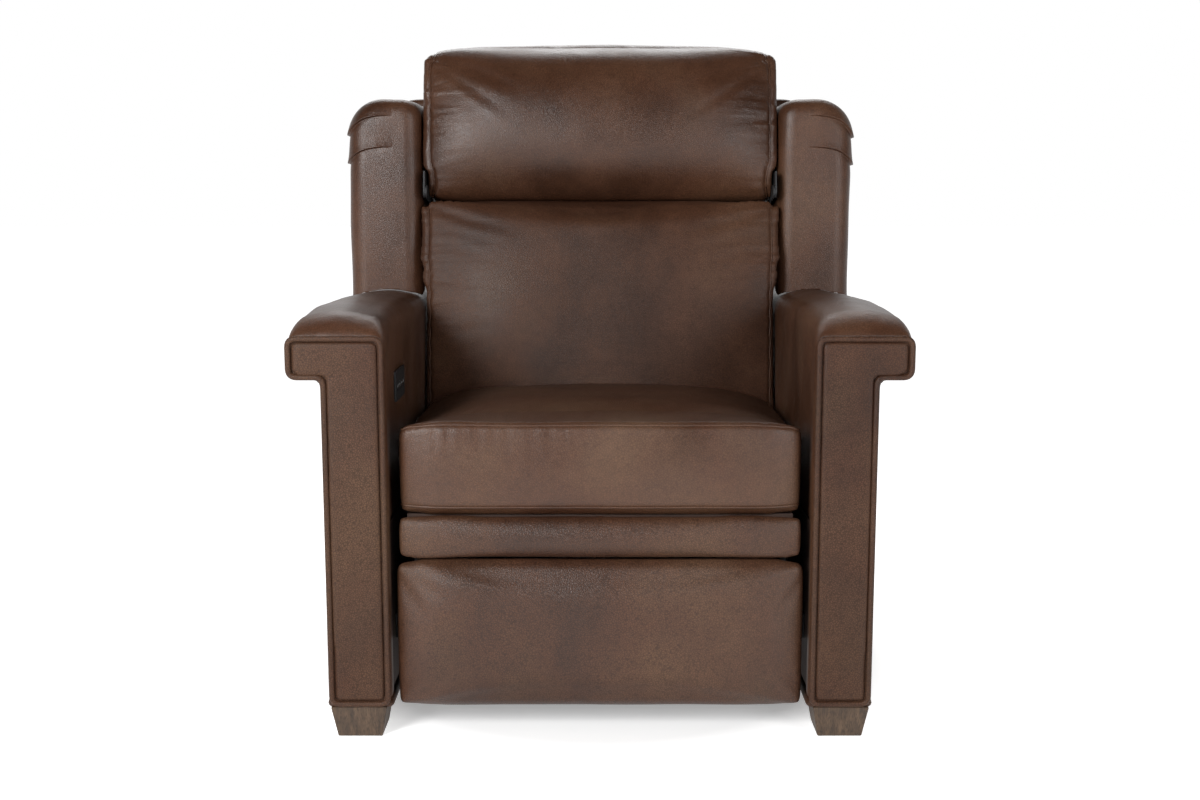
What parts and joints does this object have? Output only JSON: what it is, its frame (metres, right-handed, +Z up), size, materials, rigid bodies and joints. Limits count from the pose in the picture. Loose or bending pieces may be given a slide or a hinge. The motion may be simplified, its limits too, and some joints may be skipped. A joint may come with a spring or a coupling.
{
  "type": "wall hugger recliner",
  "caption": "Leather power recliner whose seat slides forward as its winged back leans, with a link-carried footrest and a tilting headrest.",
  "frame": {"origin": "floor point under the middle of the chair's overall length and width", "axes": "+X towards the sitter's left, +Y towards the back of the chair, +Z up"},
  "size_m": [0.942, 0.96, 1.1106],
  "materials": {
    "leather": "satin",
    "leather_pebbled": "satin",
    "foot_wood": "matte",
    "frame_timber": "matte",
    "black_steel": "satin",
    "spring_steel": "satin",
    "black_plastic": "matte",
    "roller_nylon": "satin",
    "button_metal": "satin"
  },
  "bodies": {
    "base": {"arm_frame_left": "frame_timber", "arm_frame_right": "frame_timber", "arm_cover_left": "leather", "arm_cover_right": "leather", "arm_facing_left": "leather_pebbled", "arm_facing_right": "leather_pebbled", "front_foot_left": "foot_wood", "front_foot_right": "foot_wood", "rear_foot_left": "foot_wood", "rear_foot_right": "foot_wood", "front_cross_tube": "black_steel", "rear_cross_tube": "black_steel", "rear_board": "leather_pebbled", "track_left": "black_steel", "track_right": "black_steel", "recline_actuator": "black_plastic", "power_supply": "black_plastic", "power_inlet": "black_plastic", "switch_panel": "black_plastic"},
    "carriage": {"side_plate_left": "black_steel", "side_plate_right": "black_steel", "carriage_cross_tube": "black_steel", "seat_frame": "frame_timber", "seat_springs": "spring_steel", "seat_cushion": "leather", "front_strip": "leather_pebbled", "recline_rod": "spring_steel", "footrest_actuator": "black_plastic"},
    "footrest_crank": {"footrest_crank": "black_steel"},
    "control_links": {"control_links": "black_steel"},
    "reach_links": {"reach_links": "black_steel"},
    "footrest": {"footrest_brackets": "black_steel", "footrest_board": "frame_timber", "footrest_pad": "leather_pebbled"},
    "footrest_rod": {"footrest_rod": "spring_steel"},
    "back": {"back_bracket_left": "black_steel", "back_bracket_right": "black_steel", "back_frame": "frame_timber", "back_springs": "spring_steel", "outer_back": "leather", "back_top_pad": "leather", "wing_left": "leather", "wing_right": "leather", "lumbar_cushion": "leather", "headrest_hinges": "black_steel", "headrest_actuator": "black_plastic"},
    "headrest": {"headrest_arms": "black_steel", "headrest_board": "leather", "headrest_cushion": "leather"},
    "headrest_rod": {"headrest_rod": "spring_steel"},
    "front_roller_left": {"front_roller_left": "roller_nylon"},
    "front_roller_right": {"front_roller_right": "roller_nylon"},
    "rear_roller_left": {"rear_roller_left": "roller_nylon"},
    "rear_roller_right": {"rear_roller_right": "roller_nylon"},
    "button_1": {"button_1": "button_metal"},
    "button_2": {"button_2": "button_metal"},
    "button_3": {"button_3": "button_metal"},
    "button_4": {"button_4": "button_metal"}
  },
  "joints": [
    {"name": "carriage_slide", "type": "slide", "parent": "base", "child": "carriage", "axis": [0, -1, 0], "range_m": [0, 0.15]},
    {"name": "back_recline", "type": "hinge", "parent": "carriage", "child": "back", "pos_m": [0, 0.188, 0.33], "axis": [-1, 0, 0], "range_deg": [0, 24.05]},
    {"name": "headrest_tilt", "type": "hinge", "parent": "back", "child": "headrest", "pos_m": [0, 0.10515, 0.83912], "axis": [1, 0, 0], "range_deg": [0, 30]},
    {"name": "headrest_rod_slide", "type": "slide", "parent": "back", "child": "headrest_rod", "axis": [0, 0.1736, 0.9848], "range_m": [0, 0.0778]},
    {"name": "footrest_lift", "type": "hinge", "parent": "carriage", "child": "footrest_crank", "pos_m": [0, -0.314, 0.245], "axis": [-1, 0, 0], "range_deg": [0, 131]},
    {"name": "control_link_swing", "type": "hinge", "parent": "carriage", "child": "control_links", "pos_m": [0, -0.26906, 0.22308], "axis": [-1, 0, 0], "range_deg": [0, 131.05]},
    {"name": "reach_link_fold", "type": "hinge", "parent": "footrest_crank", "child": "reach_links", "pos_m": [0, -0.21649, 0.10574], "axis": [1, 0, 0], "range_deg": [0, 131.05]},
    {"name": "footrest_tilt", "type": "hinge", "parent": "reach_links", "child": "footrest", "pos_m": [0, -0.40524, 0.1978], "axis": [-1, 0, 0], "range_deg": [0, 82.05]},
    {"name": "footrest_rod_slide", "type": "slide", "parent": "carriage", "child": "footrest_rod", "axis": [0, -1, 0], "range_m": [0, 0.0821]},
    {"name": "front_roller_left_spin", "type": "hinge", "parent": "carriage", "child": "front_roller_left", "pos_m": [0, -0.194, 0.152], "axis": [1, 0, 0], "range_deg": [0, 537.2]},
    {"name": "front_roller_right_spin", "type": "hinge", "parent": "carriage", "child": "front_roller_right", "pos_m": [0, -0.194, 0.152], "axis": [1, 0, 0], "range_deg": [0, 537.2]},
    {"name": "rear_roller_left_spin", "type": "hinge", "parent": "carriage", "child": "rear_roller_left", "pos_m": [0, 0.136, 0.152], "axis": [1, 0, 0], "range_deg": [0, 537.2]},
    {"name": "rear_roller_right_spin", "type": "hinge", "parent": "carriage", "child": "rear_roller_right", "pos_m": [0, 0.136, 0.152], "axis": [1, 0, 0], "range_deg": [0, 537.2]},
    {"name": "button_1_press", "type": "slide", "parent": "base", "child": "button_1", "axis": [-1, 0, 0], "range_m": [0, 0.0015], "stiffness_N_per_m": 600},
    {"name": "button_2_press", "type": "slide", "parent": "base", "child": "button_2", "axis": [-1, 0, 0], "range_m": [0, 0.0015], "stiffness_N_per_m": 600},
    {"name": "button_3_press", "type": "slide", "parent": "base", "child": "button_3", "axis": [-1, 0, 0], "range_m": [0, 0.0015], "stiffness_N_per_m": 600},
    {"name": "button_4_press", "type": "slide", "parent": "base", "child": "button_4", "axis": [-1, 0, 0], "range_m": [0, 0.0015], "stiffness_N_per_m": 600}
  ],
  "couplings": [
    {"joint": "back_recline", "follows": "carriage_slide", "rad_per_m": 2.7925},
    {"joint": "headrest_rod_slide", "follows": "headrest_tilt", "m_per_rad": 0.14821},
    {"joint": "control_link_swing", "follows": "footrest_lift", "ratio": 1},
    {"joint": "reach_link_fold", "follows": "footrest_lift", "ratio": 1},
    {"joint": "footrest_tilt", "follows": "footrest_lift", "ratio": 0.62595},
    {"joint": "footrest_rod_slide", "follows": "footrest_lift", "m_per_rad": 0.035819},
    {"joint": "front_roller_left_spin", "follows": "carriage_slide", "rad_per_m": 62.5},
    {"joint": "front_roller_right_spin", "follows": "carriage_slide", "rad_per_m": 62.5},
    {"joint": "rear_roller_left_spin", "follows": "carriage_slide", "rad_per_m": 62.5},
    {"joint": "rear_roller_right_spin", "follows": "carriage_slide", "rad_per_m": 62.5}
  ]
}
